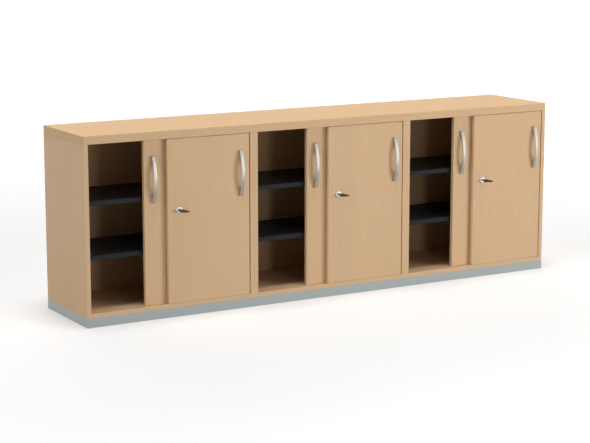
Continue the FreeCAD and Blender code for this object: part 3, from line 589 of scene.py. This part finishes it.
studio = {
    "floorSize": 60,
    "floorDrop": 0.0004,  # below the object's underside
    "floorRoughness": 0.9,
    "floorTone": 1.0,  # as the camera sees it
    "floorBounce": 0.37,  # as it lights the object
    "floorMirror": (0.50, 0.95),  # in polished metal, near and far
    "mirrorReach": (1.6, 2.8),  # metres over which the mirrored floor brightens
    "farGlow": 0.30,  # lifts the far floor to the white backdrop, for the camera alone
    "glowReach": (2.2, 9.0),  # metres over which it rises
    "ambient": 0.06,
    "horizonGlow": (0.62, 1.45),  # mirrored overhead and at eye level
    "glowHeights": (0.42, 0.22),  # upward part of the view direction at those two
    "sunDistance": 6,
    "suns": {
        "overheadSun": {"strength": 2.1, "toward": (0.0, -0.06, 1.0), "angle": 30},
        "leftSun": {"strength": 0.98, "toward": (-0.93, -0.16, 0.33), "angle": 40},
        "backSun": {"strength": 1.2, "toward": (0.25, 0.95, 0.17), "angle": 50},
    },
    "softboxes": {
        "farBox": {"power": 355, "size": (4.0, 2.4), "place": (5.6, -7.2, 1.6),
                   "aim": (0.0, -0.2, 0.45)},
        "nearBox": {"power": 12, "size": (0.5, 0.5), "place": (-0.42, -4.0, 0.75),
                    "aim": (0.1, 0.0, 0.4)},
    },
}


def floorPaint():
    material, tree, shader = newMaterial("floorPaint")
    path = addNode(tree, "ShaderNodeLightPath").outputs
    coords = addNode(tree, "ShaderNodeTexCoord")
    length = addNode(tree, "ShaderNodeVectorMath", operation="LENGTH")
    tree.links.new(coords.outputs["Object"], length.inputs[0])
    distance = length.outputs["Value"]
    mirrored = spread(tree, distance, studio["floorMirror"], studio["mirrorReach"])
    bounced = blend(tree, path["Is Glossy Ray"], studio["floorBounce"], mirrored)
    tone = blend(tree, path["Is Camera Ray"], bounced, studio["floorTone"])
    tree.links.new(tone, shader.inputs["Base Color"])
    glow = spread(tree, distance, (0, studio["farGlow"]), studio["glowReach"])
    seen = blend(tree, path["Is Camera Ray"], 0, glow)
    tree.links.new(seen, shader.inputs["Emission Strength"])
    shader.inputs["Emission Color"].default_value = (1, 1, 1, 1)
    shader.inputs["Roughness"].default_value = studio["floorRoughness"]
    return material


def addFloor():
    bm = bmesh.new()
    under = Matrix.Translation((0, 0, -studio["floorDrop"]))
    bmesh.ops.create_grid(bm, x_segments=1, y_segments=1, size=studio["floorSize"], matrix=under)
    mesh = bpy.data.meshes.new("studioFloor")
    bm.to_mesh(mesh)
    bm.free()
    mesh.materials.append(floorPaint())
    floor = bpy.data.objects.new("studioFloor", mesh)
    bpy.context.scene.collection.objects.link(floor)


def addWorld():
    world = bpy.data.worlds.new("studioWorld")
    bpy.context.scene.world = world
    world.use_nodes = True
    tree = world.node_tree
    background = tree.nodes["Background"]
    background.inputs["Color"].default_value = (1, 1, 1, 1)
    path = addNode(tree, "ShaderNodeLightPath").outputs
    direction = addNode(tree, "ShaderNodeTexCoord")
    parts = addNode(tree, "ShaderNodeSeparateXYZ")
    tree.links.new(direction.outputs["Generated"], parts.inputs["Vector"])
    glow = spread(tree, parts.outputs["Z"], studio["horizonGlow"], studio["glowHeights"])
    mirrored = blend(tree, path["Is Glossy Ray"], studio["ambient"], glow)
    white = blend(tree, path["Is Camera Ray"], mirrored, 1)
    tree.links.new(white, background.inputs["Strength"])


def addLight(name, data, place, toward):
    light = bpy.data.objects.new(name, data)
    light.rotation_mode = "QUATERNION"
    light.rotation_quaternion = toward.to_track_quat("Z", "Y")
    light.location = place
    light.visible_glossy = False  # no hard glint on metal
    light.visible_camera = False
    bpy.context.scene.collection.objects.link(light)


def addLights():
    for name, look in studio["suns"].items():
        data = bpy.data.lights.new(name, "SUN")
        data.energy = look["strength"]
        data.angle = math.radians(look["angle"])
        toward = Vector(look["toward"]).normalized()
        addLight(name, data, toward * studio["sunDistance"], toward)
    for name, look in studio["softboxes"].items():
        data = bpy.data.lights.new(name, "AREA")
        data.energy = look["power"]
        data.shape = "RECTANGLE"
        data.size, data.size_y = look["size"]
        place = Vector(look["place"])
        addLight(name, data, place, place - Vector(look["aim"]))


addFloor()
addWorld()
addLights()


# Camera, fitted to the photograph's edges

cameraFit = {
    "lens": 104.636,
    "sensor": 36,
    "place": (-3.9848, -6.6456, 1.7477),
    "heading": 30.4261,  # degrees from +Y towards +X
    "pitch": 10.4895,  # degrees below level
}
cameraData = bpy.data.cameras.new("photoCamera")
cameraData.lens = cameraFit["lens"]
cameraData.sensor_width = cameraFit["sensor"]
camera = bpy.data.objects.new("photoCamera", cameraData)
camera.location = cameraFit["place"]
camera.rotation_euler = (math.radians(90 - cameraFit["pitch"]), 0,
                         -math.radians(cameraFit["heading"]))
bpy.context.scene.collection.objects.link(camera)
bpy.context.scene.camera = camera
bpy.context.scene.view_settings.view_transform = "Standard"
print("studio and camera set")
